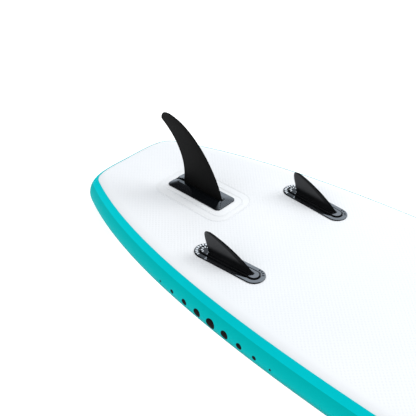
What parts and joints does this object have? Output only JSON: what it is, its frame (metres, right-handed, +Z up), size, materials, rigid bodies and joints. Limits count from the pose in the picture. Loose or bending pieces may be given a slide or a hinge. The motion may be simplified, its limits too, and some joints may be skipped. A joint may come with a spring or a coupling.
{
  "type": "stand up paddleboard",
  "caption": "Inflatable stand up paddleboard lying deck down, with a raked centre fin in a slide-in box, low side fins, deck pads, carry handle, D-rings and inflation valve.",
  "frame": {"origin": "on the surface that the tail and nose rest on, under the middle of the board's length and width; the board lies deck down with its hull and fins up", "axes": "+X from the tail to the nose, +Y across the board, +Z up out of the hull"},
  "size_m": [3.05, 0.8398, 0.3742],
  "materials": {
    "hull_skin": "satin",
    "deck_skin": "satin",
    "sidewall": "satin",
    "rail_tape": "satin",
    "drop_stitch": "matte",
    "white_patch": "satin",
    "grey_patch": "satin",
    "fin": "satin",
    "fin_box": "gloss",
    "deck_pad": "matte",
    "webbing": "matte",
    "grip_foam": "matte",
    "steel": "gloss",
    "valve": "satin",
    "seal": "matte"
  },
  "bodies": {
    "board": {"cargo_ring_1_loop": "webbing", "cargo_ring_1_patch": "grey_patch", "cargo_ring_2_loop": "webbing", "cargo_ring_2_patch": "grey_patch", "cargo_ring_3_loop": "webbing", "cargo_ring_3_patch": "grey_patch", "cargo_ring_4_loop": "webbing", "cargo_ring_4_patch": "grey_patch", "deck_skin": "deck_skin", "drop_stitch_core": "drop_stitch", "fin_box": "fin_box", "fin_box_inner_patch": "white_patch", "fin_box_outer_patch": "white_patch", "fin_lock_spring": "steel", "front_pad": "deck_pad", "handle_grip": "grip_foam", "handle_patch_front": "grey_patch", "handle_patch_rear": "grey_patch", "handle_strap": "webbing", "hull_skin": "hull_skin", "leash_ring_loop": "webbing", "leash_ring_patch": "grey_patch", "middle_pad_left": "deck_pad", "middle_pad_right": "deck_pad", "rail_tape_left": "rail_tape", "rail_tape_right": "rail_tape", "rear_pad": "deck_pad", "side_fin_flange_left": "fin_box", "side_fin_flange_right": "fin_box", "side_fin_left": "fin", "side_fin_right": "fin", "sidewall_left": "sidewall", "sidewall_right": "sidewall", "tow_ring_loop": "webbing", "tow_ring_patch": "grey_patch", "valve_body": "valve", "valve_gasket": "seal", "valve_nut": "valve", "valve_spring": "steel"},
    "center_fin": {"center_fin": "fin"},
    "fin_lock": {"fin_lock_button": "fin_box"},
    "leash_ring": {"leash_ring": "steel"},
    "tow_ring": {"tow_ring": "steel"},
    "cargo_ring_1": {"cargo_ring_1": "steel"},
    "cargo_ring_2": {"cargo_ring_2": "steel"},
    "cargo_ring_3": {"cargo_ring_3": "steel"},
    "cargo_ring_4": {"cargo_ring_4": "steel"},
    "valve_cap": {"valve_cap": "valve", "valve_cap_seal": "seal"},
    "valve_stem": {"valve_stem": "valve", "valve_disc": "seal"}
  },
  "joints": [
    {"name": "center_fin_slide", "type": "slide", "parent": "board", "child": "center_fin", "axis": [-0.9988, 0, -0.0499], "range_m": [0, 0.22]},
    {"name": "fin_lock_press", "type": "slide", "parent": "board", "child": "fin_lock", "axis": [0.0499, 0, -0.9988], "range_m": [0, 0.0012], "stiffness_N_per_m": 900, "deforming": ["fin_lock_spring"]},
    {"name": "leash_ring_swing", "type": "hinge", "parent": "board", "child": "leash_ring", "pos_m": [-1.28476, 0, 0.00431], "axis": [0, -1, 0], "range_deg": [0, 172]},
    {"name": "tow_ring_swing", "type": "hinge", "parent": "board", "child": "tow_ring", "pos_m": [1.3743, 0, 0.01037], "axis": [0, 1, 0], "range_deg": [0, 172]},
    {"name": "cargo_ring_1_swing", "type": "hinge", "parent": "board", "child": "cargo_ring_1", "pos_m": [0.63488, 0.17, 0.0714], "axis": [0, 1, 0], "range_deg": [-90, 82]},
    {"name": "cargo_ring_2_swing", "type": "hinge", "parent": "board", "child": "cargo_ring_2", "pos_m": [0.63488, -0.17, 0.0714], "axis": [0, 1, 0], "range_deg": [-90, 82]},
    {"name": "cargo_ring_3_swing", "type": "hinge", "parent": "board", "child": "cargo_ring_3", "pos_m": [0.99463, 0.17, 0.0533], "axis": [0, 1, 0], "range_deg": [-90, 82]},
    {"name": "cargo_ring_4_swing", "type": "hinge", "parent": "board", "child": "cargo_ring_4", "pos_m": [0.99463, -0.17, 0.0533], "axis": [0, 1, 0], "range_deg": [-90, 82]},
    {"name": "valve_cap_turn", "type": "hinge", "parent": "board", "child": "valve_cap", "pos_m": [1.235, 0, 0.03407], "axis": [-0.1211, 0, -0.9926], "range_deg": [0, 90]},
    {"name": "valve_stem_press", "type": "slide", "parent": "board", "child": "valve_stem", "axis": [0.1211, 0, 0.9926], "range_m": [0, 0.005], "stiffness_N_per_m": 400, "deforming": ["valve_spring"]}
  ]
}
